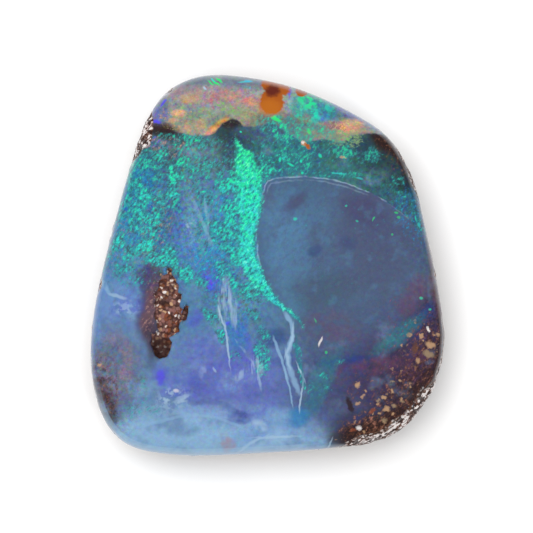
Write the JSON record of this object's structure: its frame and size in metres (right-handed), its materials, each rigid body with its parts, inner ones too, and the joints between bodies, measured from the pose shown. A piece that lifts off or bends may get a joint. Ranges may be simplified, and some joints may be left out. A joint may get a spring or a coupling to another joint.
{
  "type": "polished boulder opal",
  "caption": "Freeform boulder opal: a low domed, polished opal face on an ironstone wall, with a rough pocket, rough corners and a sawn flat back.",
  "frame": {"origin": "bottom centre of the stone's bounding box, on the sawn back", "axes": "+Z out of the polished face, +Y along the stone's longer side towards its narrow end, +X to the right seen from the face"},
  "size_m": [0.0224, 0.0242, 0.005],
  "materials": {
    "boulder_opal": "polished play-of-colour opal face; matte brown ironstone on the wall, back, pocket and rough corners"
  },
  "bodies": {
    "root": {"boulder_opal": "boulder_opal"}
  },
  "joints": []
}
